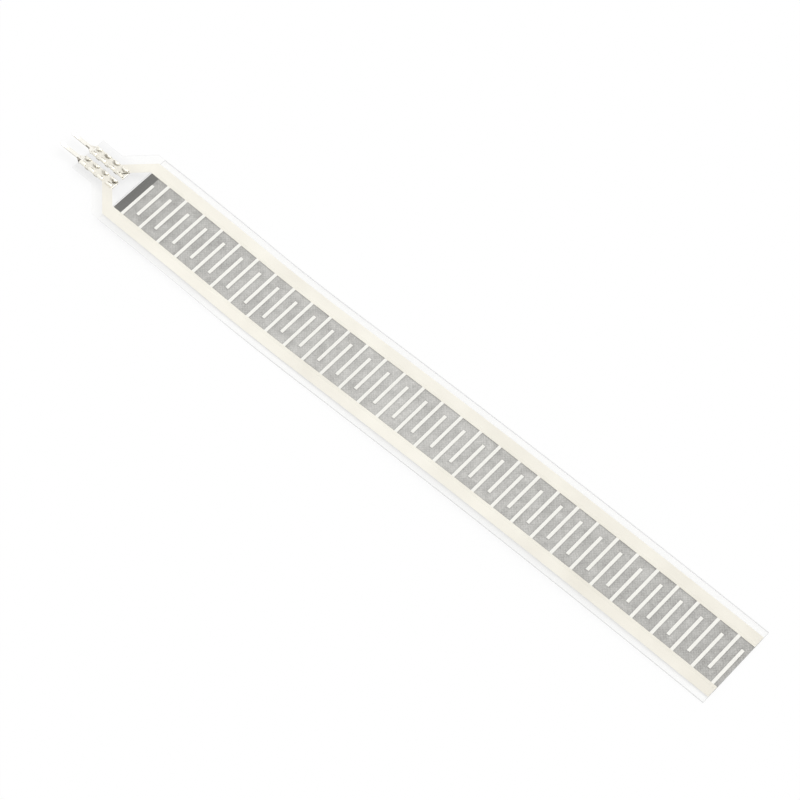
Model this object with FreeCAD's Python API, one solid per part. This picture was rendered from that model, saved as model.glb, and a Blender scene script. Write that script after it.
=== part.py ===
# Force sensing resistor, long trimmable strip, as it lies on a table.
# X runs along the strip from the solder pins (-X) to the cut end (+X), Y across it, Z up.
# The origin is at the middle of the outer box, on the surface that the strip lies on.
import FreeCAD, Part
import math
import os

Vector = FreeCAD.Vector

# Film outline, in millimetres
strip_width = 15.2
tail_width = 7.0
total_length = 138.5
pin_reach = 16.65        # from the first finger's centre back to the tips of the pins
tail_reach = 11.9        # from the first finger's centre back to the end of the tail
shoulder_reach = 3.5     # from the first finger's centre back to the start of the shoulder

# Silver combs
finger_pitch = 3.9
finger_width = 0.56
right_fingers = 32
left_fingers = 31
bus_inner = 4.33         # distance of the bus's inner edge from the centre line
bus_outer = 6.45
finger_gap = 1.52        # from a finger's free end to the opposite bus
lead_width = 1.6
lead_reach = 2.12        # from the first finger's centre back to the bus's inner corner
pad_width = 1.7
pad_end_margin = 0.5     # clear film between the silver pad and the end of the tail

# Carbon layer and the window in the spacer
carbon_reach = 1.87      # from the first finger's centre back to the carbon's edge
carbon_half_width = 5.3
window_half_width = 4.9
rear_reach = 2.15        # from the first finger's centre back to the edge of liner and rear glue

# Thickness of the layers, from the underside up
liner_thickness = 0.08
rear_glue_thickness = 0.05
film_thickness = 0.10
spacer_thickness = 0.09
carbon_thickness = 0.015
silver_thickness = 0.015

# Side profile: the angles are how steeply the strip rises towards the tail
crest_radius = 1049.0
crest_angle = 0.0375     # the arch comes down to the table at this angle
dip_radius = 144.0
land_length = 5.0        # flat stretch that lies on the table
heel_radius = 93.0
heel_angle = 0.075
tail_radius = 467.0
tail_angle = 0.030

# Solder terminals
terminal_spacing = 2.54
terminal_thickness = 0.20
base_width = 1.7
base_length = 7.35
claw_pairs = 4
claw_pitch = 1.95
claw_width = 1.20
claw_tip_width = 0.35
claw_curl_radius = 0.32  # outside radius of the curl
first_claw_margin = 0.72 # from the end of the tail to the first claws' centre
pin_width = 0.64
neck_length = 0.9
pin_bend_radius = 7.0
pin_bend_length = 1.9
tip_width = 0.32
tip_taper = 0.25         # length over which the pin narrows to its tip

# Places along X that follow from the sizes above
x_tip = -total_length / 2
x_cut = total_length / 2
x_first = x_tip + pin_reach
x_tail = x_first - tail_reach
x_shoulder = x_first - shoulder_reach
x_carbon = x_first - carbon_reach
x_window = x_first - finger_width / 2
x_rear = x_first - rear_reach
x_first_claw = x_tail + first_claw_margin

# Heights of the layers above the underside of the liner
liner_top = liner_thickness
rear_glue_top = liner_top + rear_glue_thickness
carbon_film_top = rear_glue_top + film_thickness
spacer_top = carbon_film_top + spacer_thickness
electrode_film_top = spacer_top + film_thickness
carbon_top = carbon_film_top + carbon_thickness
silver_bottom = spacer_top - silver_thickness

# How far slabs and prisms run past the pieces cut from them
overrun = 1.0
prism_height = 6.0


def side_profile():
    """Walk along the underside from the cut end to past the pins.

    Each stretch is (x, z, start angle, end angle, signed radius or straight length).
    A positive radius turns the strip upwards on its way to the tail.
    """
    dip_height = dip_radius * (1 - math.cos(crest_angle))
    cut_angle = math.acos(math.cos(crest_angle) - dip_height / crest_radius)
    start_angle = cut_angle + overrun / crest_radius
    turns = [
        (start_angle, -crest_angle, -crest_radius),
        (-crest_angle, 0.0, dip_radius),
        (0.0, 0.0, land_length),
        (0.0, heel_angle, heel_radius),
        (heel_angle, tail_angle, -tail_radius),
        (tail_angle, tail_angle, pin_reach + overrun),
    ]
    x = x_cut + crest_radius * (math.sin(start_angle) - math.sin(cut_angle))
    z = crest_radius * (math.cos(start_angle) - math.cos(cut_angle))
    stretches = []
    for start, end, size in turns:
        stretches.append((x, z, start, end, size))
        x, z = stretch_point(x, z, start, end, size, 1.0)
    return stretches


def stretch_point(x, z, start, end, size, part):
    """Point at a given part, 0 to 1, of one stretch of the underside."""
    angle = start + (end - start) * part
    if start == end:
        run = size * part
        return x - run * math.cos(angle), z + run * math.sin(angle)
    x_turned = x - size * (math.sin(angle) - math.sin(start))
    return x_turned, z + size * (math.cos(start) - math.cos(angle))


def offset_point(stretch, part, height):
    """Point on a stretch, lifted square to the underside by a height."""
    start, end = stretch[2:4]
    angle = start + (end - start) * part
    x, z = stretch_point(*stretch, part)
    return Vector(x + height * math.sin(angle), 0, z + height * math.cos(angle))


def offset_edges(height):
    """The side profile at a height above the underside, as lines and tangent arcs."""
    edges = []
    for stretch in side_profile():
        first, middle, last = (offset_point(stretch, part, height) for part in (0.0, 0.5, 1.0))
        if stretch[2] == stretch[3]:
            edges.append(Part.LineSegment(first, last).toShape())
        else:
            edges.append(Part.Arc(first, middle, last).toShape())
    return edges


def slab(bottom, top):
    """A sheet of even thickness that follows the side profile, wider than the strip."""
    lower = offset_edges(bottom)
    upper = offset_edges(top)
    cut_cap = Part.LineSegment(lower[0].Vertexes[0].Point, upper[0].Vertexes[0].Point).toShape()
    tail_cap = Part.LineSegment(lower[-1].Vertexes[1].Point, upper[-1].Vertexes[1].Point).toShape()
    wire = Part.Wire(Part.__sortEdges__(lower + [tail_cap] + upper + [cut_cap]))
    sheet = Part.Face(wire).extrude(Vector(0, strip_width + 2 * overrun, 0))
    sheet.translate(Vector(0, -strip_width / 2 - overrun, 0))
    return sheet


def prism(points):
    """A tall upright prism on a plan outline given as (x, y) points."""
    corners = [Vector(x, y, -overrun) for x, y in points]
    outline = Part.makePolygon(corners + corners[:1])
    return Part.Face(outline).extrude(Vector(0, 0, prism_height))


def box_prism(x_low, x_high, y_low, y_high):
    """A tall upright prism on a rectangle."""
    return prism([(x_low, y_low), (x_high, y_low), (x_high, y_high), (x_low, y_high)])


def layer(outline, bottom, top):
    """One layer of the laminate: its plan outline cut out of a curved sheet."""
    return slab(bottom, top).common(outline)


def film_outline():
    """Plan of a film from the end of the tail to the cut end: tail, slanted shoulders and strip."""
    half_strip = strip_width / 2
    half_tail = tail_width / 2
    x_neck = x_shoulder - (half_strip - half_tail)
    left_side = [(x_tail, half_tail), (x_neck, half_tail), (x_shoulder, half_strip), (x_cut, half_strip)]
    right_side = [(x, -y) for x, y in reversed(left_side)]
    return prism(left_side + right_side)


def comb_outline(side, first_finger_x, finger_count):
    """Plan of one silver comb: pad, slanted lead, bus along the edge and its fingers.

    side is 1 for the comb on the +Y edge and -1 for the one on the -Y edge.
    """
    pad_y = terminal_spacing / 2
    pad_low = pad_y - pad_width / 2
    pad_high = pad_y + pad_width / 2
    x_pad_end = x_tail + pad_end_margin
    x_lead_inner = x_first - lead_reach
    slant_step = lead_width * math.sqrt(2)
    points = [(x_pad_end, pad_low)]
    points += [(x_lead_inner - (bus_inner - pad_low), pad_low)]
    points += [(x_lead_inner, bus_inner)]
    finger_tip = -(bus_inner - finger_gap)
    for number in range(finger_count):
        x = first_finger_x + number * finger_pitch
        points += [(x - finger_width / 2, bus_inner), (x - finger_width / 2, finger_tip)]
        points += [(x + finger_width / 2, finger_tip), (x + finger_width / 2, bus_inner)]
    points += [(x_cut, bus_inner), (x_cut, bus_outer)]
    points += [(x_lead_inner - slant_step + (bus_outer - bus_inner), bus_outer)]
    points += [(x_lead_inner - slant_step - (bus_inner - pad_high), pad_high)]
    points += [(x_pad_end, pad_high)]
    return prism([(x, side * y) for x, y in points])


def on_tail(shape):
    """Move a shape from the flat tail frame to the raised, slanted tail.

    In the tail frame X is the same, and Z is the height above the underside of the liner.
    """
    x, z = side_profile()[-1][:2]
    moved = shape.copy()
    moved.translate(Vector(-x, 0, 0))
    moved.rotate(Vector(0, 0, 0), Vector(0, 1, 0), math.degrees(tail_angle))
    moved.translate(Vector(x, 0, z))
    return moved


def claw_centres():
    """X of each pair of claws, from the end of the tail forwards."""
    return [x_first_claw + number * claw_pitch for number in range(claw_pairs)]


def claw(x, side):
    """One claw: a leg up through the tail, curled over inwards with its tip on the film."""
    centre_y = base_width / 2 - claw_curl_radius
    inner_radius = claw_curl_radius - terminal_thickness
    outer_leg = Vector(0, centre_y + claw_curl_radius, 0)
    inner_leg = Vector(0, centre_y + inner_radius, 0)
    up = Vector(0, 0, electrode_film_top)
    base = Vector(0, 0, rear_glue_top - terminal_thickness)
    outer_arc = Part.Arc(outer_leg + up, Vector(0, centre_y, claw_curl_radius) + up,
                         Vector(0, centre_y - claw_curl_radius, 0) + up).toShape()
    inner_arc = Part.Arc(Vector(0, centre_y - inner_radius, 0) + up,
                         Vector(0, centre_y, inner_radius) + up, inner_leg + up).toShape()
    edges = [
        Part.LineSegment(outer_leg + base, outer_leg + up).toShape(),
        outer_arc,
        Part.LineSegment(outer_arc.Vertexes[1].Point, inner_arc.Vertexes[0].Point).toShape(),
        inner_arc,
        Part.LineSegment(inner_leg + up, inner_leg + base).toShape(),
        Part.LineSegment(inner_leg + base, outer_leg + base).toShape(),
    ]
    band = Part.Face(Part.Wire(edges)).extrude(Vector(claw_width, 0, 0))
    band.translate(Vector(-claw_width / 2, 0, 0))
    half = claw_width / 2
    half_tip = claw_tip_width / 2
    tip_y = centre_y - claw_curl_radius
    taper = prism([(-half, outer_leg.y), (-half, centre_y), (-half_tip, tip_y),
                   (half_tip, tip_y), (half, centre_y), (half, outer_leg.y)])
    piece = band.common(taper)
    if side < 0:
        piece = piece.mirror(Vector(0, 0, 0), Vector(0, 1, 0))
    piece.translate(Vector(x, 0, 0))
    return piece


def terminal_blank():
    """Base plate, neck and solder pin in one strip of metal, with the pin's tip bent up."""
    top = rear_glue_top
    bottom = top - terminal_thickness
    x_bend = x_tip + pin_bend_length
    x_front = x_tail + base_length
    turn = pin_bend_length / pin_bend_radius

    def bent_edge(height, centre_height):
        radius = centre_height - height
        ends = [Vector(x_bend - radius * math.sin(turn * part), 0,
                       centre_height - radius * math.cos(turn * part)) for part in (0, 0.5, 1)]
        return Part.Arc(*ends).toShape()

    centre_height = top + pin_bend_radius
    lower = bent_edge(bottom, centre_height)
    upper = bent_edge(top, centre_height)
    edges = [
        lower,
        Part.LineSegment(lower.Vertexes[1].Point, upper.Vertexes[1].Point).toShape(),
        upper,
        Part.LineSegment(Vector(x_bend, 0, top), Vector(x_front, 0, top)).toShape(),
        Part.LineSegment(Vector(x_front, 0, top), Vector(x_front, 0, bottom)).toShape(),
        Part.LineSegment(Vector(x_front, 0, bottom), Vector(x_bend, 0, bottom)).toShape(),
    ]
    side = Part.Face(Part.Wire(Part.__sortEdges__(edges)))
    strip = side.extrude(Vector(0, base_width, 0))
    strip.translate(Vector(0, -base_width / 2, 0))
    half_base = base_width / 2
    half_pin = pin_width / 2
    half_tip = tip_width / 2
    left_side = [(x_tip - overrun, half_tip), (x_tip, half_tip), (x_tip + tip_taper, half_pin)]
    left_side += [(x_tail - neck_length, half_pin), (x_tail, half_base), (x_front, half_base)]
    right_side = [(x, -y) for x, y in reversed(left_side)]
    return strip.common(prism(left_side + right_side))


def terminal(side):
    """One solder terminal: blank and claws in one piece, on its own half of the tail."""
    claws = [claw(x, edge) for x in claw_centres() for edge in (1, -1)]
    piece = terminal_blank().multiFuse(claws).removeSplitter()
    piece.translate(Vector(0, side * terminal_spacing / 2, 0))
    return on_tail(piece)


def claw_slots():
    """Slits that the claws pierce through the layers of the tail, for both terminals."""
    slits = []
    half = claw_width / 2
    outer = base_width / 2
    inner = outer - terminal_thickness
    for side in (1, -1):
        middle = side * terminal_spacing / 2
        for edge in (1, -1):
            y_low, y_high = sorted((middle + edge * inner, middle + edge * outer))
            for x in claw_centres():
                slits.append(on_tail(box_prism(x - half, x + half, y_low, y_high)))
    return slits


def single_solid(shape):
    """The one solid that a boolean result holds, so that each piece is exported as a solid."""
    if len(shape.Solids) != 1:
        raise ValueError("expected one solid, found %d" % len(shape.Solids))
    return shape.Solids[0]


def build_pieces():
    """All pieces of the sensor by name."""
    slits = claw_slots()
    whole_film = film_outline()
    rear_film = box_prism(x_rear, x_cut, -strip_width / 2, strip_width / 2)
    carbon_area = box_prism(x_carbon, x_cut, -carbon_half_width, carbon_half_width)
    window = box_prism(x_window, x_cut + overrun, -window_half_width, window_half_width)
    left_area = comb_outline(1, x_first + finger_pitch / 2, left_fingers)
    right_area = comb_outline(-1, x_first, right_fingers)
    left_comb = layer(left_area, silver_bottom, spacer_top)
    right_comb = layer(right_area, silver_bottom, spacer_top)
    carbon = layer(carbon_area, carbon_film_top, carbon_top)
    spacer = layer(whole_film.cut(window), carbon_film_top, spacer_top)
    return {
        "release_liner": layer(rear_film, 0, liner_top),
        "rear_adhesive": layer(rear_film, liner_top, rear_glue_top),
        "carbon_film": layer(whole_film, rear_glue_top, carbon_film_top).cut(slits),
        "carbon_layer": carbon,
        "spacer_adhesive": spacer.cut([left_comb, right_comb, carbon] + slits),
        "left_comb_electrode": left_comb.cut(slits),
        "right_comb_electrode": right_comb.cut(slits),
        "electrode_film": layer(whole_film, spacer_top, electrode_film_top).cut(slits),
        "left_solder_terminal": terminal(1),
        "right_solder_terminal": terminal(-1),
    }


os.makedirs("parts", exist_ok=True)
for name, shape in build_pieces().items():
    solid = single_solid(shape)
    solid.exportStep("parts/" + name + ".step")
    box = solid.BoundBox
    print("%-22s volume %8.3f  X %7.2f %7.2f  Y %6.2f %6.2f  Z %6.3f %6.3f  valid %s" % (
        name, solid.Volume, box.XMin, box.XMax, box.YMin, box.YMax, box.ZMin, box.ZMax,
        solid.isValid()))
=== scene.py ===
# %% [markdown]
# This lesson dresses a force sensing resistor for its picture. The real thing is a long sandwich
# of clear polyester films, with silver combs and grey carbon ink printed between them, and two
# solder terminals crimped to its tail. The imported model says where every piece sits, so it is
# loaded first and never moved. Finer pieces are then modelled in its place.

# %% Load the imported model
import math

import bmesh
import bpy
from mathutils import Matrix, Vector


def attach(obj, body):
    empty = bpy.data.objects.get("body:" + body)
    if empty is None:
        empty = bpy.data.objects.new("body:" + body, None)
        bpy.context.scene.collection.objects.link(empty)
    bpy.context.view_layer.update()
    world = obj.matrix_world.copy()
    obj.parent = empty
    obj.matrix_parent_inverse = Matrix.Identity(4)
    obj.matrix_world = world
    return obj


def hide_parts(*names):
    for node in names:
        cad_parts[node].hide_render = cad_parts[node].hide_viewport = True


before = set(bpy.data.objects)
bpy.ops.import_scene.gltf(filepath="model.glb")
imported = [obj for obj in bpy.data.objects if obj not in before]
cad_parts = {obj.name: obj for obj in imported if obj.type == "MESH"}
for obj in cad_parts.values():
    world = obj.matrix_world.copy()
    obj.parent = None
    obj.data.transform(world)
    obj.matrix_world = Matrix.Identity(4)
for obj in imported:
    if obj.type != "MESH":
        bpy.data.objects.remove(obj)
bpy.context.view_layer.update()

# %% [markdown]
# The picture looks down on the strip from its front right, with the pins at the far left. A camera
# is easiest to place by two angles and a distance around a point on the strip. The lens is long
# and half a metre away, so that both ends of the strip come out almost equally wide.

# %% Camera
view_azimuth = math.radians(42.18)
view_elevation = math.radians(59.69)
view_distance = 0.4845
view_target = Vector((0.00246, 0.00051, 0.00031))
lens_length = 142.1
sensor_width = 36

toward_camera = Vector((math.sin(view_azimuth) * math.cos(view_elevation),
                        -math.cos(view_azimuth) * math.cos(view_elevation),
                        math.sin(view_elevation)))
camera_data = bpy.data.cameras.new("camera")
camera_data.lens = lens_length
camera_data.sensor_width = sensor_width
camera = bpy.data.objects.new("camera", camera_data)
camera.location = view_target + view_distance * toward_camera
camera.rotation_euler = (-toward_camera).to_track_quat("-Z", "Y").to_euler()
bpy.context.scene.collection.objects.link(camera)
bpy.context.scene.camera = camera
bpy.context.scene.view_settings.view_transform = "Standard"
print("Camera at", [round(value, 3) for value in camera.location])

# %% [markdown]
# In a white studio light comes from everywhere. Half of it comes from one broad lamp, high on the
# right of the picture, so that the strip gets a soft, faint shadow along its lower left edge. The
# two shares add up to one, so a colour renders about as it is written. A sun lamp with a wide
# angle stands for the lamp, because its light is as strong all over.

# %% Light
sky_share = 0.5
lamp_share = 0.5
lamp_height_angle = math.radians(66)
lamp_turn = math.radians(48)
lamp_spread = math.radians(50)

lamp_data = bpy.data.lights.new("broad_lamp", "SUN")
lamp_data.angle = lamp_spread
lamp_data.energy = math.pi * lamp_share / math.sin(lamp_height_angle)
lamp = bpy.data.objects.new("broad_lamp", lamp_data)
toward_lamp = Vector((math.sin(lamp_turn) * math.cos(lamp_height_angle),
                      math.cos(lamp_turn) * math.cos(lamp_height_angle),
                      math.sin(lamp_height_angle)))
lamp.rotation_euler = toward_lamp.to_track_quat("Z", "Y").to_euler()
bpy.context.scene.collection.objects.link(lamp)
print("Lamp strength", round(lamp_data.energy, 2))

# %% [markdown]
# Materials are node trees. Three short helpers feed a node, add a node that is fed at once, and do
# a sum on values, so that each finish below reads as the steps of a recipe. An input is fed with a
# plain value or with the socket of another node.

# %% Helpers for node trees
def feed(tree, node, inputs):
    """Give a node's inputs plain values, or join them to the sockets that feed them."""
    for name, value in inputs.items():
        if isinstance(value, bpy.types.NodeSocket):
            tree.links.new(value, node.inputs[name])
        else:
            node.inputs[name].default_value = value


def add_node(tree, kind, inputs=None):
    """A new node, fed with its inputs."""
    node = tree.nodes.new("ShaderNode" + kind)
    feed(tree, node, inputs or {})
    return node


def sum_node(tree, operation, *terms):
    """A sum on terms that are numbers or sockets; returns its socket."""
    node = add_node(tree, "Math")
    node.operation = operation
    feed(tree, node, dict(enumerate(terms)))
    return node.outputs[0]


print("Helpers for node trees are ready")

# %% [markdown]
# Rays from the camera, from gloss and through clear parts see a plain white studio. Other rays see
# the weaker sky, which lights the piece. A Light Path node tells the two kinds apart.

# %% Sky
def seen_directly(tree):
    """1 for rays of the camera, of gloss and through clear parts, else 0."""
    path = add_node(tree, "LightPath").outputs
    seen = sum_node(tree, "MAXIMUM", path["Is Camera Ray"], path["Is Glossy Ray"])
    return sum_node(tree, "MAXIMUM", seen, path["Is Transmission Ray"])


world = bpy.data.worlds.new("white_studio")
world.use_nodes = True
bpy.context.scene.world = world
tree = world.node_tree
extra = sum_node(tree, "MULTIPLY", seen_directly(tree), 1 - sky_share)
strength = sum_node(tree, "ADD", extra, sky_share)
feed(tree, tree.nodes["Background"], {"Color": (1, 1, 1, 1), "Strength": strength})
print("The sky lights with", sky_share, "and is seen as white")

# %% [markdown]
# The table is matt white for the light that it sends back. To the camera most of its white is its
# own glow, like a light table, and only a part is matt, so that the strip's shadow is as faint as
# in a bright product picture.

# %% Table
table_colour = 0.9
seen_matt = 0.20
table_half_size = 2.0
table_clearance = 0.000005

table_white = bpy.data.materials.new("table_white")
table_white.use_nodes = True
tree = table_white.node_tree
tree.nodes.clear()
seen = seen_directly(tree)
matt_white = sum_node(tree, "MULTIPLY_ADD", seen, seen_matt - table_colour, table_colour)
matt = add_node(tree, "BsdfDiffuse", {"Color": matt_white})
strength = sum_node(tree, "MULTIPLY", seen, 1 - seen_matt)
glow = add_node(tree, "Emission", {"Color": (1, 1, 1, 1), "Strength": strength})
both = add_node(tree, "AddShader", {0: matt.outputs["BSDF"], 1: glow.outputs["Emission"]})
add_node(tree, "OutputMaterial", {"Surface": both.outputs["Shader"]})

form = bmesh.new()
bmesh.ops.create_grid(form, x_segments=1, y_segments=1, size=table_half_size)
bmesh.ops.translate(form, vec=(0, 0, -table_clearance), verts=form.verts)
table_mesh = bpy.data.meshes.new("table")
form.to_mesh(table_mesh)
form.free()
table = bpy.data.objects.new("table", table_mesh)
table_mesh.materials.append(table_white)
bpy.context.scene.collection.objects.link(table)
print("Table of", 2 * table_half_size, "m")

# %% [markdown]
# The strip's sizes come from its photo, and its thin layers have the usual thicknesses. They are
# written in millimetres, as they would stand on a drawing. Everything along the strip is counted
# from the first finger, because the printed combs set the rhythm of the whole piece. Heights are
# those of the layers above the strip's underside. A hair of two thousandths of a millimetre keeps
# two pieces apart where they would touch.

# %% Sizes of the strip
mm = 0.001

half_strip = 15.2 / 2
half_tail = 7.0 / 2
total_length = 138.5
finger_pitch = 3.9
half_pitch = finger_pitch / 2
finger_width = 0.56
half_finger = finger_width / 2

x_tip = -total_length / 2
x_cut = total_length / 2
x_first = x_tip + 16.65
x_tail = x_first - 11.9
x_shoulder = x_first - 3.5
x_neck = x_shoulder - (half_strip - half_tail)
x_carbon = x_first - 1.87
x_window = x_first - half_finger
x_rear = x_first - 2.15

liner_top = 0.080
film_bottom = 0.130
film_top = 0.230
carbon_top = 0.245
silver_bottom = 0.305
glue_top = 0.320
top_film_top = 0.420
hair = 0.002
print("First finger at", round(x_first, 2), "mm, cut end at", x_cut, "mm")

# %% [markdown]
# The strip doesn't lie flat. It arches over the table by less than a millimetre, touches down on a
# short land near its tail, and rises from there to the pins. In the drawing this side line is a
# chain of straights and tangent arcs. Walking along it from the cut end gives the start of each
# stretch.

# %% Side line of the strip
crest_radius = 1049.0
crest_angle = 0.0375
dip_radius = 144.0
land_length = 5.0
heel_radius = 93.0
heel_angle = 0.075
tail_radius = 467.0
tail_angle = 0.030


def walk_side_line():
    """Stretches from the cut end to the pins: start and end, angles, and radius or length."""
    dip_height = dip_radius * (1 - math.cos(crest_angle))
    cut_angle = math.acos(math.cos(crest_angle) - dip_height / crest_radius)
    turns = [(cut_angle, -crest_angle, -crest_radius), (-crest_angle, 0, dip_radius),
             (0, 0, land_length), (0, heel_angle, heel_radius),
             (heel_angle, tail_angle, -tail_radius), (tail_angle, tail_angle, total_length)]
    x, z = x_cut, 0.0
    walked = []
    for start, end, size in turns:
        if start == end:
            x_end = x - size * math.cos(start)
            z_end = z + size * math.sin(start)
        else:
            x_end = x - size * (math.sin(end) - math.sin(start))
            z_end = z + size * (math.cos(start) - math.cos(end))
        walked.append((x, z, x_end, start, end, size))
        x, z = x_end, z_end
    return walked


side_line = walk_side_line()
x_slope, z_slope = side_line[-1][:2]
print("Stretches start at", [round(stretch[0], 2) for stretch in side_line])

# %% [markdown]
# The layers are a few hundredths of a millimetre thick, less than a coarsely bent sheet is off its
# true line. So every layer is folded along the same lines, midway between the fingers, and its
# height between two lines is read straight. Neighbours then follow each other and never break
# through. The first fold lies six and a half half pitches before the first finger.

# %% Fold lines and the height of the underside
fold_count = 70
folds_before = 6.5


def underside(x):
    """Exact height of the underside at x."""
    x_start, z_start, _, start, end, size = next(
        (stretch for stretch in side_line if x > stretch[2]), side_line[-1])
    if start == end:
        return z_start + (x_start - x) * math.tan(start)
    angle = math.asin(math.sin(start) - (x - x_start) / size)
    return z_start + size * (math.cos(start) - math.cos(angle))


folds = [x_first + (number - folds_before) * half_pitch for number in range(fold_count)]
fold_heights = [underside(x) for x in folds]


def folded_height(x):
    """Height of the underside at x, straight from fold to fold."""
    steps = (x - folds[0]) / half_pitch
    number = min(max(int(steps), 0), fold_count - 2)
    low, high = fold_heights[number:number + 2]
    return low + (high - low) * (steps - number)


print("Highest fold", round(max(fold_heights), 2), "mm,",
      "from", round(folds[0], 2), "to", round(folds[-1], 2))

# %% [markdown]
# A film is made as a sheet metal worker would: draw its outline flat, score it along the fold
# lines, give it its thickness, then lay it over the side line. A region's edges are handed over
# with its faces when it is pulled. Its old faces then stay as the underside only where nothing
# else touches them, and the skin stays closed.

# %% Helpers for sheets
upright_limit = 0.5


def flat_sheet(points):
    """A flat face from the corners of its outline."""
    form = bmesh.new()
    form.faces.new([form.verts.new((x, y, 0)) for x, y in points])
    return form


def slice_form(form, place, normal, clear=False):
    """Cut a form along a plane; with clear, what lies beyond the plane goes."""
    everything = form.verts[:] + form.edges[:] + form.faces[:]
    bmesh.ops.bisect_plane(form, geom=everything, plane_co=place, plane_no=normal,
                           clear_outer=clear)


def score_folds(form):
    """Cut a form along every fold line that crosses it."""
    for x in folds:
        slice_form(form, (x, 0, 0), (1, 0, 0))


def pull(form, faces, vec):
    """Extrude a region of faces by a vector."""
    region = list(faces) + list({edge for face in faces for edge in face.edges})
    grown = bmesh.ops.extrude_face_region(form, geom=region)["geom"]
    moved = [item for item in grown if isinstance(item, bmesh.types.BMVert)]
    bmesh.ops.translate(form, vec=vec, verts=moved)
    return [item for item in grown if isinstance(item, bmesh.types.BMFace)]


def lay_down(form, height, bands=()):
    """Turn a sheet's faces outward and lay it over the side line at a height above the underside.

    Bands are the layers of a cut edge, upwards: the top of each and the number of its finish.
    """
    bmesh.ops.recalc_face_normals(form, faces=form.faces)
    for face in form.faces:
        if bands and abs(face.normal.z) < upright_limit:
            middle = height + face.calc_center_median().z
            face.material_index = next(number for top, number in bands if middle < top)
    for vertex in form.verts:
        vertex.co.z += height + folded_height(vertex.co.x)


print("Helpers for sheets are ready")

# %% [markdown]
# Every finished form goes the same way into the scene. It is scaled from millimetres to metres,
# gets smooth faces with sharp corners, and is linked.

# %% Helper that finishes a piece
smooth_angle = math.radians(30)


def finish_piece(form, name, finishes, nodes):
    """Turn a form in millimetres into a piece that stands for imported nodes."""
    bmesh.ops.scale(form, vec=(mm, mm, mm), verts=form.verts)
    mesh = bpy.data.meshes.new(name)
    form.to_mesh(mesh)
    form.free()
    mesh.shade_smooth()
    mesh.set_sharp_from_angle(angle=smooth_angle)
    for finish in finishes:
        mesh.materials.append(finish)
    piece = bpy.data.objects.new(name, mesh)
    bpy.context.scene.collection.objects.link(piece)
    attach(piece, "root")
    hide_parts(*nodes)
    mesh.calc_loop_triangles()
    print(name, "has", len(mesh.loop_triangles), "triangles")


print("Corners above", round(math.degrees(smooth_angle)), "degrees stay sharp")

# %% [markdown]
# All finishes of this strip share a few steps. Each starts from a Principled shader and the
# piece's own coordinates, lets noise choose between a dark and a bright shade, turns parts of the
# surface to another colour, and adds a relief of a hundredth of a millimetre. Each step is a
# helper here.

# %% Helpers for finishes
relief_height = 0.01 * mm


def new_finish(name):
    """A new material; returns it, its node tree, its shader and the piece's own coordinates."""
    finish = bpy.data.materials.new(name)
    finish.use_nodes = True
    tree = finish.node_tree
    place = add_node(tree, "TexCoord").outputs["Object"]
    return finish, tree, tree.nodes["Principled BSDF"], place


def split(tree, place):
    """The x and the y of a place."""
    parts = add_node(tree, "SeparateXYZ", {"Vector": place}).outputs
    return parts["X"], parts["Y"]


def noise(tree, place, scale, detail, roughness=0.5):
    """Noise between 0 and 1; its scale counts the patches in a metre."""
    inputs = {"Vector": place, "Scale": scale, "Detail": detail, "Roughness": roughness}
    return add_node(tree, "TexNoise", inputs).outputs["Fac"]


def ramp(tree, value, start=0.0, end=1.0, low=0.0, high=1.0):
    """From low where a value is at its start to high where it is at its end."""
    inputs = {"Value": value, "From Min": start, "From Max": end, "To Min": low, "To Max": high}
    return add_node(tree, "MapRange", inputs).outputs["Result"]


def shades(tree, value, dark, bright, start=0.0, end=1.0):
    """A colour that is dark up to a start of the value and bright from its end on."""
    node = add_node(tree, "ValToRGB", {"Fac": value})
    first, last = node.color_ramp.elements
    first.position, first.color = start, (*dark, 1)
    last.position, last.color = end, (*bright, 1)
    return node.outputs["Color"]


def blend(tree, share, colour, other):
    """A colour that turns into a plain other one by a share."""
    inputs = {"Fac": share, "Color1": colour, "Color2": (*other, 1)}
    return add_node(tree, "MixRGB", inputs).outputs["Color"]


def relief(tree, height, strength):
    """A normal that follows a very fine relief."""
    inputs = {"Height": height, "Strength": strength, "Distance": relief_height}
    return add_node(tree, "Bump", inputs).outputs["Normal"]


print("Helpers for finishes are ready")

# %% [markdown]
# Clear polyester seen flat on is almost nothing: a trace of grey and a soft gleam. In the middle
# of the tail, near the terminals, grey is painted on it as shade, for the shadow of the raised
# tail and terminals. Its cut edges are what the eye finds, because they bend the light, and that
# is painted on them as grey. Those of the films are faint; the edge of the soft glue on the back
# gets the darkest painted line. Toward the tail the front edges are painted paler and hardly
# show. The peel-off liner is a little hazy, so the buses above it draw their narrow shadow on it.
# Plain transparency is used and not glass, because the lamp then lights the inks under the film.
# Fine noise on roughness and relief gives handled, lightly rubbed film.

# %% Finishes of the clear films
darker_haze = 0.93
tail_shade_grey = (0.03, 0.035, 0.045)
tail_shade_length = 4.0
tail_shade_inner = 2.6
tail_shade_outer = 4.2
pale_edge_white = (0.93, 0.93, 0.92)
x_edge_darkest = -18.0
x_edge_palest = -42.0


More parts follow.
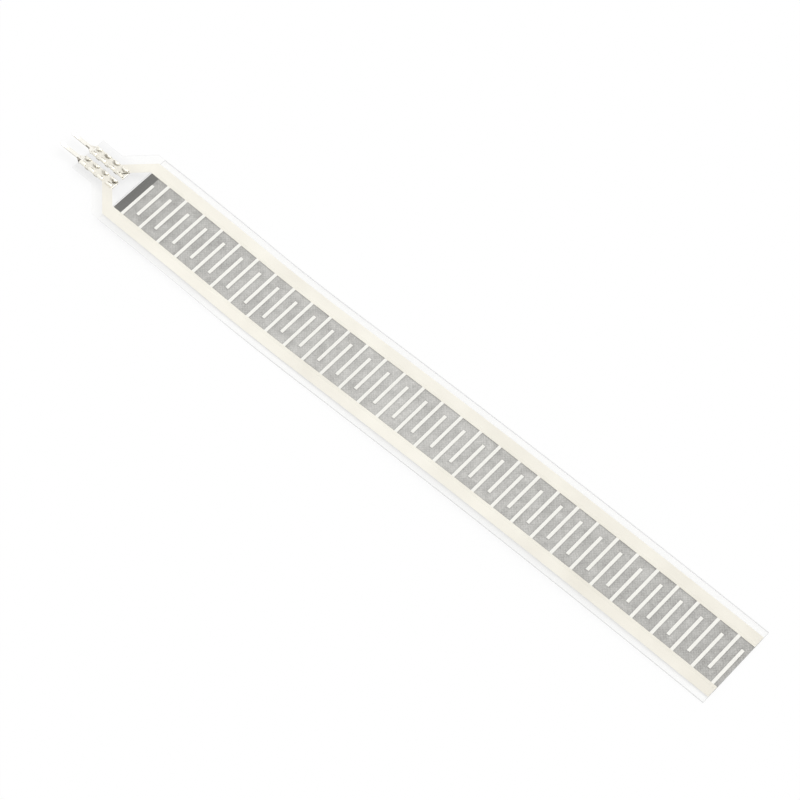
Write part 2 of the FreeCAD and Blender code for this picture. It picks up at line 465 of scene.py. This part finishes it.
def clear_finish(name, colour, presence, rub_depth, tail_shade=0.0, edge_paling=0.0):
    """A clear film or glue: colour, presence, rubbing, painted tail shade, painted paler edge."""
    finish, tree, shader, place = new_finish(name)
    haze = noise(tree, place, scale=160.0, detail=4.0, roughness=0.6)
    tint = shades(tree, haze, [darker_haze * part for part in colour], colour)
    along, across = split(tree, place)
    # Painted shade: grey in the middle of the tail, for the shadow of the raised tail and
    # terminals.
    at_tail = ramp(tree, along, (x_shoulder + tail_shade_length) * mm, x_shoulder * mm)
    off_middle = sum_node(tree, "ABSOLUTE", across)
    inward = ramp(tree, off_middle, tail_shade_outer * mm, tail_shade_inner * mm, high=tail_shade)
    tint = blend(tree, sum_node(tree, "MULTIPLY", at_tail, inward), tint, tail_shade_grey)
    # Painted: the front cut edges turn paler toward the tail, where their bent light hardly shows.
    paler_edges = ramp(tree, along, x_edge_darkest * mm, x_edge_palest * mm, high=edge_paling)
    front = sum_node(tree, "LESS_THAN", across, -half_tail * mm)
    tint = blend(tree, sum_node(tree, "MULTIPLY", paler_edges, front), tint, pale_edge_white)
    gleam = ramp(tree, haze, low=0.07, high=0.16)
    rub = noise(tree, place, scale=2600.0, detail=3.0)
    feed(tree, shader, {"Alpha": presence, "IOR": 1.5, "Base Color": tint, "Roughness": gleam,
                        "Normal": relief(tree, rub, rub_depth)})
    return finish


# The grey of every cut edge is painted, for the light that the clear edges bend.
film_face = clear_finish("polyester_face", (0.95, 0.95, 0.86), 0.04, 0.1, tail_shade=1.0)
film_cut = clear_finish("polyester_cut_edge", (0.20, 0.20, 0.20), 0.20, 0.4, edge_paling=1.0)
glue_cut = clear_finish("glue_cut_edge", (0.40, 0.40, 0.38), 0.14, 0.5, edge_paling=1.0)
painted_glue_edge_line = clear_finish("dusty_glue_edge", (0.14, 0.14, 0.13), 0.85, 0.5, edge_paling=0.97)
liner_haze = clear_finish("hazy_liner", (0.99, 0.99, 0.98), 0.22, 0.1)
tail_cut = clear_finish("tail_cut_edge", pale_edge_white, 0.09, 0.4)
clear_finishes = [film_face, film_cut, glue_cut, painted_glue_edge_line, liner_haze, tail_cut]
print("Clear finishes:", [finish.name for finish in clear_finishes])

# %% [markdown]
# All films share one outline: a narrow tail, shoulders at 45 degrees and a long straight body.
# Half of it is listed and half is mirrored. The flat face is then cut where the glue's window and
# the rear adhesive begin, and scored for the folds, so that regions of it can be pulled on their
# own.

# %% Outline of the films
window_half = 4.9


def strip_outline():
    """Corners of the strip's outline from the end of the tail to the cut end."""
    half = [(x_tail, half_tail), (x_neck, half_tail),
            (x_shoulder, half_strip), (x_cut, half_strip)]
    return half + [(x, -y) for x, y in reversed(half)]


form = flat_sheet(strip_outline())
for x in (x_rear, x_window):
    slice_form(form, (x, 0, 0), (1, 0, 0))
for side in (1, -1):
    slice_form(form, (0, side * window_half, 0), (0, 1, 0))
score_folds(form)
print("The outline is cut into", len(form.faces), "faces")

# %% [markdown]
# The films, the frame of glue between them and the peel-off back are bonded into one sandwich. It
# is made as one closed skin, because a ray may cross only a few clear surfaces before it ends in
# black. Two copies of the flat outline start it. The lower one is pulled up into the lower film,
# its rim further up into the frame of glue, and its body down into the glue and liner of the back.
# The upper one becomes the top film. Where frame and film touch, both faces go and the rims are
# merged, which leaves an open pocket over the carbon, as in the real strip.

# %% Clear sandwich
same_place = 0.00001


def in_window(face):
    """True for a face that lies over the window in the glue."""
    middle = face.calc_center_median()
    return middle.x > x_window and abs(middle.y) < window_half


lower = form.faces[:]
copied = bmesh.ops.duplicate(form, geom=form.verts[:] + form.edges[:] + lower)["geom"]
upper = [item for item in copied if isinstance(item, bmesh.types.BMFace)]
risen = [item for item in copied if isinstance(item, bmesh.types.BMVert)]
bmesh.ops.translate(form, vec=(0, 0, glue_top - film_bottom), verts=risen)

raised = pull(form, lower, (0, 0, film_top - film_bottom))
rim = [face for face in raised if not in_window(face)]
bonded = pull(form, rim, (0, 0, glue_top - film_top))
backed = [face for face in lower if face.calc_center_median().x > x_rear]
backed = pull(form, backed, (0, 0, liner_top - film_bottom))
for face in pull(form, backed, (0, 0, -liner_top)):
    face.material_index = clear_finishes.index(liner_haze)
pull(form, upper, (0, 0, top_film_top - glue_top))
bonded += [face for face in upper if not in_window(face)]
bmesh.ops.delete(form, geom=bonded, context="FACES")
bmesh.ops.remove_doubles(form, verts=form.verts, dist=same_place)
print("The sandwich has", len(form.faces), "faces in one skin")

# %% [markdown]
# A cut edge shows the layers one above the other, so each of its faces takes the finish of the
# layer at its height. The tail has no back, and its short edges get a paler painted grey than the
# long ones.

# %% Cut edges of the sandwich
edge_layers = [(liner_top, film_cut), (film_bottom, painted_glue_edge_line), (film_top, film_cut),
               (glue_top, glue_cut), (top_film_top, film_cut)]
lay_down(form, film_bottom, [(top, clear_finishes.index(finish)) for top, finish in edge_layers])
for face in form.faces:
    edge_finish = clear_finishes[face.material_index]
    if edge_finish in (film_cut, glue_cut) and face.calc_center_median().x < x_rear:
        face.material_index = clear_finishes.index(tail_cut)
finish_piece(form, "clear_sandwich", clear_finishes,
             ["electrode_film", "spacer_adhesive", "carbon_film",
              "rear_adhesive", "release_liner"])

# %% [markdown]
# Printed silver is not mirror silver. The ink is fine flakes in a resin, so it looks like warm,
# nearly white satin with a slight grain, and the film over it adds a smooth gleam, which is the
# coat here. Two noises at different sizes tint it: one for patches along the strip and one for the
# grain of the flakes. From the top of the arch to the cut end it is painted a little darker, as
# painted sheen of the film that is brightest over the arch. The buses lie in the glue, which
# yellows them, and the fingers in the open window stay whiter.

# %% Finish of the silver ink
sheen_middle = 2.0
sheen_reach = 75.0
bus_inner = 4.33
silver_base = -0.22
grain_share = 0.45
silver_sheen_fade = 0.34
white_share = 0.7


def off_crest(tree, along):
    """How far x is past the top of the arch, about 1 at the cut end."""
    return sum_node(tree, "DIVIDE", sum_node(tree, "SUBTRACT", along, sheen_middle * mm),
                    sheen_reach * mm)


silver_ink, tree, shader, place = new_finish("silver_ink")
along, across = split(tree, place)
patches = noise(tree, place, scale=110.0, detail=2.0)
grain = noise(tree, place, scale=9000.0, detail=2.0)
# Painted sheen: darker from the top of the arch toward the cut end.
toward_cut = sum_node(tree, "MAXIMUM", off_crest(tree, along), 0.0)
tone = sum_node(tree, "MULTIPLY_ADD", grain, grain_share, silver_base)
tone = sum_node(tree, "MULTIPLY_ADD", toward_cut, -silver_sheen_fade, tone)
tone = sum_node(tree, "ADD", patches, tone)
warm = shades(tree, tone, (0.820, 0.785, 0.700), (0.935, 0.906, 0.822), start=0.1, end=0.7)
inside = sum_node(tree, "LESS_THAN", sum_node(tree, "ABSOLUTE", across), bus_inner * mm)
past_lead = sum_node(tree, "GREATER_THAN", along, (x_window - hair) * mm)
in_open = sum_node(tree, "MULTIPLY", inside, past_lead)
whiter = sum_node(tree, "MULTIPLY", in_open, white_share)
silver = blend(tree, whiter, warm, (0.930, 0.926, 0.906))
satin = ramp(tree, grain, low=0.52, high=0.74)
feed(tree, shader, {"Metallic": 0.06, "Coat Weight": 0.6, "Coat Roughness": 0.08,
                    "Base Color": silver, "Roughness": satin,
                    "Normal": relief(tree, grain, 0.25)})
print("Silver ink is mixed, its fingers", white_share, "whiter")

# %% [markdown]
# Each comb is a bus along one edge with fingers across the strip. One cell of it, a stretch of bus
# with its finger, is pulled out of a single edge. The finger's free corners are rounded as printed
# ink is.

# %% One cell of a comb
bus_outer = 6.45
finger_gap = 1.52
ink_round = 0.035


def pull_edge(form, edge, places):
    """Extrude an edge along x; places are the new edge's two corners, inner first."""
    grown = bmesh.ops.extrude_edge_only(form, edges=[edge])["geom"]
    corners = [item for item in grown if isinstance(item, bmesh.types.BMVert)]
    for corner, place in zip(sorted(corners, key=lambda corner: corner.co.y), places):
        corner.co = (*place, 0)
    return next(item for item in grown if isinstance(item, bmesh.types.BMEdge)
                and all(corner in corners for corner in item.verts))


def comb_cell(x_finger):
    """A flat cell for the +Y side, with its finger at x; returns its form and its first edge."""
    form = bmesh.new()
    x_start = x_finger - half_pitch
    corners = [form.verts.new((x_start, y, 0)) for y in (bus_inner, bus_outer)]
    start_edge = form.edges.new(corners)
    edge = start_edge
    for x in (x_finger - half_finger, x_finger + half_finger, x_finger + half_pitch):
        edge = pull_edge(form, edge, [(x, bus_inner), (x, bus_outer)])
    root = next(edge for edge in form.edges if all(
        abs(corner.co.y - bus_inner) < hair and abs(corner.co.x - x_finger) < finger_width
        for corner in edge.verts))
    grown = bmesh.ops.extrude_edge_only(form, edges=[root])["geom"]
    tip = [item for item in grown if isinstance(item, bmesh.types.BMVert)]
    bmesh.ops.translate(form, vec=(0, finger_gap - 2 * bus_inner, 0), verts=tip)
    bmesh.ops.bevel(form, geom=tip, offset=ink_round, offset_type="OFFSET", affect="VERTICES",
                    segments=3, profile=0.5, material=-1)
    return form, start_edge


print("A finger is", round(2 * bus_inner - finger_gap, 2), "mm long")

# %% [markdown]
# The cell is repeated by duplicate, as the print repeats it. The lead and the pad under the
# terminal are pulled from the first cell, and one cut trims the last cells at the strip's cut end.
# The two combs differ in their side and in where their fingers start.

# %% Silver combs
lead_width = 1.6
pad_width = 1.7
pad_middle = 2.54 / 2
cell_count = 32
x_lead = x_first - 2.12
x_pad = x_tail + 0.5


def comb_form(x_finger):
    """A flat comb for the +Y side, with its first finger at x."""
    form, start_edge = comb_cell(x_finger)
    cell = form.verts[:] + form.edges[:] + form.faces[:]
    for number in range(1, cell_count):
        copy = bmesh.ops.duplicate(form, geom=cell)["geom"]
        copied = [item for item in copy if isinstance(item, bmesh.types.BMVert)]
        bmesh.ops.translate(form, vec=(number * finger_pitch, 0, 0), verts=copied)
    outer_step = bus_outer - bus_inner - lead_width * math.sqrt(2)
    pad_low = pad_middle - pad_width / 2
    pad_high = pad_middle + pad_width / 2
    edge = pull_edge(form, start_edge, [(x_lead, bus_inner), (x_lead + outer_step, bus_outer)])
    edge = pull_edge(form, edge, [(x_lead - (bus_inner - pad_low), pad_low),
                                  (x_lead + outer_step - (bus_outer - pad_high), pad_high)])
    pull_edge(form, edge, [(x_pad, pad_low), (x_pad, pad_high)])
    bmesh.ops.remove_doubles(form, verts=form.verts, dist=hair)
    slice_form(form, (x_cut - hair, 0, 0), (1, 0, 0), clear=True)
    return form


for side, name, x_finger in ((1, "left", x_first + half_pitch), (-1, "right", x_first)):
    form = comb_form(x_finger)
    bmesh.ops.scale(form, vec=(1, side, 1), verts=form.verts)
    score_folds(form)
    pull(form, form.faces[:], (0, 0, glue_top - silver_bottom - hair))
    lay_down(form, silver_bottom)
    finish_piece(form, name + "_silver_comb", [silver_ink], [name + "_comb_electrode"])

# %% [markdown]
# The carbon ink is a satin grey with the faint crossed weave of the printing screen in it. Two
# waves at right angles give the weave, and noises for blotches and specks break it up. A wave
# repeats every pi / 10 over its scale. The ink is painted a little paler at the top of the arch,
# as painted sheen of the film over it, which a slow change along the strip gives.

# %% Grey of the carbon ink
weave_pitch = 0.38
wave_scale = math.pi / 10 / (weave_pitch * mm)
carbon_base = -0.36
weave_share = 0.10
blotch_share = 0.9
speck_share = 0.7
carbon_sheen_fade = 0.27

carbon_ink, tree, shader, place = new_finish("carbon_ink")
along, across = split(tree, place)
threads = []
for turn in (45, -45):
    turned = add_node(tree, "Mapping", {"Vector": place, "Rotation": (0, 0, math.radians(turn))})
    wave = add_node(tree, "TexWave", {"Vector": turned.outputs["Vector"], "Scale": wave_scale,
                                      "Distortion": 0.6, "Detail": 1.0, "Detail Scale": 0.4})
    threads.append(wave.outputs["Fac"])
weave = sum_node(tree, "ADD", *threads)
blotch = noise(tree, place, scale=620.0, detail=4.0, roughness=0.6)
speck = noise(tree, place, scale=4200.0, detail=2.0)
# Painted sheen: paler at the top of the arch, darker toward both ends.
either_way = sum_node(tree, "ABSOLUTE", off_crest(tree, along))
tone = sum_node(tree, "MULTIPLY_ADD", weave, weave_share, carbon_base)
for part, share in ((blotch, blotch_share), (speck, speck_share), (either_way, -carbon_sheen_fade)):
    tone = sum_node(tree, "MULTIPLY_ADD", part, share, tone)
grey = shades(tree, tone, (0.246, 0.239, 0.229), (0.755, 0.744, 0.722))
print("The weave has a wave every", weave_pitch, "mm")

# %% [markdown]
# Right beside the silver, where little light gets into the gap under it, the ink is darker.
# Counting along the strip in half pitches gives the nearest finger, and an even or odd count tells
# from which side it comes. Where the frame of glue wets the ink, at the tail end, it turns much
# darker, so its tint switches at the window's edge.

# %% Rims and dark band of the carbon ink
rim_reach = 0.24
rim_share = 0.38
x_band = x_window - 0.02
y_finger_end = finger_gap - bus_inner

count = sum_node(tree, "DIVIDE", sum_node(tree, "SUBTRACT", along, x_first * mm), half_pitch * mm)
nearest = sum_node(tree, "ROUND", count)
beside = sum_node(tree, "ABSOLUTE", sum_node(tree, "SUBTRACT", count, nearest))
beside = ramp(tree, beside, (half_finger + rim_reach) / half_pitch, half_finger / half_pitch)
odd = sum_node(tree, "FLOORED_MODULO", nearest, 2.0)
comb_side = sum_node(tree, "MULTIPLY_ADD", odd, 2.0, -1.0)
from_tip = sum_node(tree, "MULTIPLY", comb_side, across)
from_tip = ramp(tree, from_tip, (y_finger_end - rim_reach) * mm, y_finger_end * mm)
by_bus = sum_node(tree, "ABSOLUTE", across)
by_bus = ramp(tree, by_bus, (bus_inner - rim_reach) * mm, bus_inner * mm)
rim = sum_node(tree, "MAXIMUM", sum_node(tree, "MULTIPLY", beside, from_tip), by_bus)
grey = blend(tree, sum_node(tree, "MULTIPLY", rim, rim_share), grey, (0.150, 0.146, 0.140))
wetted = sum_node(tree, "LESS_THAN", along, x_band * mm)
grey = blend(tree, wetted, grey, (0.115, 0.113, 0.108))
satin = ramp(tree, speck, low=0.5, high=0.68)
bump = relief(tree, sum_node(tree, "ADD", weave, speck), 0.3)
feed(tree, shader, {"Coat Weight": 0.5, "Coat Roughness": 0.1,
                    "Base Color": grey, "Roughness": satin, "Normal": bump})
print("Carbon ink is mixed, dark band ends at", round(x_band, 2), "mm")

# %% [markdown]
# The ink itself is one long rectangle, a little wider than the window, so that the glue holds its
# borders down.

# %% Carbon layer
carbon_half = 5.3

x_ink_end = x_cut - hair
form = flat_sheet([(x_carbon, -carbon_half), (x_ink_end, -carbon_half),
                   (x_ink_end, carbon_half), (x_carbon, carbon_half)])
score_folds(form)
pull(form, form.faces[:], (0, 0, carbon_top - film_top - hair))
lay_down(form, film_top + hair)
finish_piece(form, "carbon_print", [carbon_ink], ["carbon_layer"])

# %% [markdown]
# The terminals are stamped from tinned brass strip. Tin is a soft warm white metal with faint
# drawing lines along it. Its dark spots are painted reflections of dark things around it. Over the
# curled claws the dark spreads as painted shade, most of all toward their tips. The sheared edges
# are darker, partly because they are bare brass and partly as painted shade, and beside each neck
# a mark of painted shade is almost black. So there are four finishes of one recipe: dark spots in
# bright metal, which differ in their shades and in how far the dark spreads.

# %% Finishes of the tinned terminals
drawing_lines = (300.0, 9000.0, 9000.0)
claw_middle = 0.55


def tin_finish(name, dark, bright, spread, tip_shade_spread=0.0):
    """Tin with painted dark spots, grown by spread; tip spread adds painted shade at the tips."""
    finish, tree, shader, place = new_finish(name)
    drawn = add_node(tree, "Mapping", {"Vector": place, "Scale": drawing_lines})
    lines = noise(tree, drawn.outputs["Vector"], scale=1.0, detail=2.0)
    # Painted reflections: dark spots that stand for dark things mirrored in the tin.
    spots = noise(tree, place, scale=2200.0, detail=3.0, roughness=0.6)
    _, across = split(tree, place)
    off_middle = sum_node(tree, "SUBTRACT", sum_node(tree, "ABSOLUTE", across), pad_middle * mm)
    off_middle = sum_node(tree, "ABSOLUTE", off_middle)
    outward = sum_node(tree, "MULTIPLY_ADD", off_middle, tip_shade_spread / mm,
                       -claw_middle * tip_shade_spread - spread)
    tone = sum_node(tree, "ADD", spots, outward)
    tin = shades(tree, tone, dark, bright, start=0.32, end=0.46)
    dull = ramp(tree, tone, low=0.42, high=0.18)
    feed(tree, shader, {"Metallic": 1.0, "Base Color": tin, "Roughness": dull,
                        "Normal": relief(tree, lines, 0.35)})
    return finish


bright_tin = tin_finish("bright_tin", (0.70, 0.67, 0.60), (0.88, 0.86, 0.80), 0.02)
# Sheared edges: bare brass, and painted darker as shade.
sheared_brass_and_shade = tin_finish("sheared_edge_and_shade", (0.20, 0.18, 0.15), (0.55, 0.52, 0.45), 0.02)
# Painted shade: dark spreading toward the claws' tips, where they dive into the film.
tip_shaded_tin = tin_finish("tip_shaded_tin", (0.32, 0.295, 0.25), (0.96, 0.935, 0.85), 0.0, 0.38)
neck_shade_mark = tin_finish("neck_shade_mark", (0.10, 0.09, 0.08), (0.40, 0.37, 0.32), 0.04)
tin_finishes = [bright_tin, sheared_brass_and_shade, tip_shaded_tin, neck_shade_mark]
print("Tin finishes:", [finish.name for finish in tin_finishes])

# %% [markdown]
# A solder terminal starts as a flat strip, modelled level and tilted like the tail at the end. Its
# side faces are cut into four claws, short relief notches beside them and plain edges. It lies
# under the lower film, so its top is the film's underside.

# %% Plate of a terminal
half_base = 0.85
plate_thickness = 0.20
base_length = 7.35
base_top = film_bottom
claw_start = 0.72
claw_pitch = 1.95
claw_count = 4
claw_centres = [x_tail + claw_start + claw_pitch * number for number in range(claw_count)]
claw_half = 0.60
notch = 0.06
corner_inner = 0.10
corner_outer = corner_inner + plate_thickness
plate_half = half_base - corner_outer


def terminal_plate():
    """The flat plate between the bends, with its side faces cut for the claws."""
    x_front = x_tail + base_length
    form = flat_sheet([(x_tail, -plate_half), (x_front, -plate_half),
                       (x_front, plate_half), (x_tail, plate_half)])
    for centre in claw_centres:
        for reach in (-claw_half - notch, -claw_half, claw_half, claw_half + notch):
            slice_form(form, (centre + reach, 0, 0), (1, 0, 0))
    pull(form, form.faces[:], (0, 0, plate_thickness))
    bmesh.ops.translate(form, vec=(0, 0, base_top - plate_thickness), verts=form.verts)
    bmesh.ops.recalc_face_normals(form, faces=form.faces)
    return form


print("Claws at", [round(centre, 2) for centre in claw_centres], "mm")

# %% [markdown]
# The plain edges are pulled outwards, and the claws are spun: a quarter turn up, a straight pull
# through the tail, and a half turn back down onto the film. Everything stays one closed skin, as
# the stamping is one piece. The claws get narrower along their curl, so they end in blunt tips.

# %% Claws of a terminal
claw_tip_half = 0.175
curl_outer = 0.318
curl_lift = 0.002
curl_middle = half_base - curl_outer
curl_height = top_film_top + curl_lift
facing_limit = 0.95


def spin_faces(form, faces, centre, axis, angle, steps):
    """Turn a region of faces about an axis and return the faces at its end."""
    region = list(faces) + list({edge for face in faces for edge in face.edges})
    turned = bmesh.ops.spin(form, geom=region, cent=centre, axis=axis, angle=angle, steps=steps)
    return [item for item in turned["geom_last"] if isinstance(item, bmesh.types.BMFace)]


def facing(form, normal, keep):
    """Faces of a form that look a given way and pass a test on their middle."""
    form.normal_update()
    return [face for face in form.faces if face.normal.dot(Vector(normal)) > facing_limit
            and keep(face.calc_center_median())]


def claw_reach(face):
    """How far along the strip a face is from the middle of the nearest claw."""
    return min(abs(face.calc_center_median().x - centre) for centre in claw_centres)


def curl_claws(form):
    """Pull the plain edges of a plate out to its width and curl its claws over the film."""
    for side in (1, -1):
        edge_faces = facing(form, (0, side, 0),
                            lambda middle: abs(middle.y - side * plate_half) < hair)
        plain = [face for face in edge_faces if claw_reach(face) > claw_half + notch]
        claws = [face for face in edge_faces if claw_reach(face) < claw_half]
        pull(form, plain, (0, side * corner_outer, 0))
        ends = spin_faces(form, claws, (0, side * plate_half, base_top + corner_inner),
                          (1, 0, 0), side * math.pi / 2, steps=5)
        ends = pull(form, ends, (0, 0, curl_height - base_top - corner_inner))
        spin_faces(form, ends, (0, side * curl_middle, curl_height), (1, 0, 0),
                   side * math.pi, steps=12)
    for vertex in form.verts:
        if vertex.co.z > top_film_top and abs(vertex.co.y) < curl_middle:
            centre = min(claw_centres, key=lambda middle: abs(middle - vertex.co.x))
            part = (curl_middle - abs(vertex.co.y)) / curl_outer
            narrowed = 1 - part * (1 - claw_tip_half / claw_half)
            vertex.co.x = centre + (vertex.co.x - centre) * narrowed


print("Curls rise", round(curl_height + curl_outer - top_film_top, 2), "mm over the film")

# %% [markdown]
# The neck and the pin are pulled from the plate's end face: a neck that narrows to the pin's
# width, a straight pin, and a tip that is spun upwards a little and narrowed, as the photo shows
# it.

# %% Pin of a terminal
half_pin = 0.32
neck_length = 0.9
tip_length = 1.9
tip_radius = 7.0
tip_narrowing = 0.5
x_bend = x_tip + tip_length


def narrow(form, faces, share):
    """Scale the corners of faces across the strip."""
    corners = {corner for face in faces for corner in face.verts}
    bmesh.ops.scale(form, vec=(1, share, 1), verts=list(corners))


def pull_pin(form):
    """Pull the neck and the pin out of a plate's end face."""
    neck = facing(form, (-1, 0, 0), lambda middle: middle.x < x_tail + hair)
    neck = pull(form, neck, (-neck_length, 0, 0))
    narrow(form, neck, half_pin / half_base)
    pin = pull(form, neck, (x_bend - x_tail + neck_length, 0, 0))
    tip = spin_faces(form, pin, (x_bend, 0, base_top + tip_radius), (0, 1, 0),
                     tip_length / tip_radius, steps=8)
    narrow(form, tip, tip_narrowing)


print("The pin is", 2 * half_pin, "mm wide and bends over its last", tip_length, "mm")

# %% [markdown]
# Beside each neck a short, almost black mark of painted shade lies on the front edge, so the pin
# is cut where it starts and ends. Then each face takes its finish: what rises above the film gets
# the painted tip shade, and steep sides away from the claws are sheared and painted darker. All
# sharp edges are rounded last, because a bevel keeps the finishes of the faces beside it.

# %% Marks and edges of a terminal
neck_shade_length = 0.85
neck_shade_inset = 0.14
steep_limit = 0.3
end_face_limit = 0.5
edge_round = 0.025
sharp_angle = math.radians(50)


def mark_faces(form, neck_shade_start):
    """Give the faces of a terminal their finishes, with the painted shade mark from a place on."""
    neck_shade_end = neck_shade_start + neck_shade_length
    for x in (neck_shade_start, neck_shade_end):
        slice_form(form, (x, 0, 0), (1, 0, 0))
    slice_form(form, (0, -neck_shade_inset, 0), (0, 1, 0))
    bmesh.ops.recalc_face_normals(form, faces=form.faces)
    for face in form.faces:
        middle = face.calc_center_median()
        steep = abs(face.normal.z) < steep_limit
        at_end = abs(face.normal.x) > end_face_limit
        # Painted shade: the near black mark beside the neck.
        if neck_shade_start < middle.x < neck_shade_end and middle.y < -neck_shade_inset:
            face.material_index = tin_finishes.index(neck_shade_mark)
        elif middle.z > top_film_top and middle.x > x_tail:
            face.material_index = tin_finishes.index(tip_shaded_tin)
        elif steep and (at_end or claw_reach(face) > claw_half):
            face.material_index = tin_finishes.index(sheared_brass_and_shade)


def round_edges(form):
    """Round every sharp outer edge of a form."""
    sharp = [edge for edge in form.edges
             if edge.is_convex and edge.calc_face_angle(0) > sharp_angle]
    bmesh.ops.bevel(form, geom=sharp, offset=edge_round, offset_type="OFFSET", affect="EDGES",
                    segments=2, profile=0.5, material=-1, clamp_overlap=True)


print("Edges above", round(math.degrees(sharp_angle)), "degrees are rounded by", edge_round, "mm")

# %% [markdown]
# Both terminals come from the same tool, 2.54 mm apart, and differ only in where their mark
# starts. A finished one is turned about the start of the tail's slope, so that it lies along the
# tail.

# %% Solder terminals
mark_starts = {"left": x_tail - 1.5, "right": x_tail - 0.95}
slope_turn = Matrix.Rotation(tail_angle, 3, "Y")
slope_start = Vector((x_slope, 0, z_slope))

for side, name in ((1, "left"), (-1, "right")):
    form = terminal_plate()
    curl_claws(form)
    pull_pin(form)
    mark_faces(form, mark_starts[name])
    round_edges(form)
    bmesh.ops.translate(form, vec=(-x_slope, side * pad_middle, 0), verts=form.verts)
    bmesh.ops.rotate(form, cent=(0, 0, 0), matrix=slope_turn, verts=form.verts)
    bmesh.ops.translate(form, vec=slope_start, verts=form.verts)
    finish_piece(form, name + "_crimped_terminal", tin_finishes, [name + "_solder_terminal"])
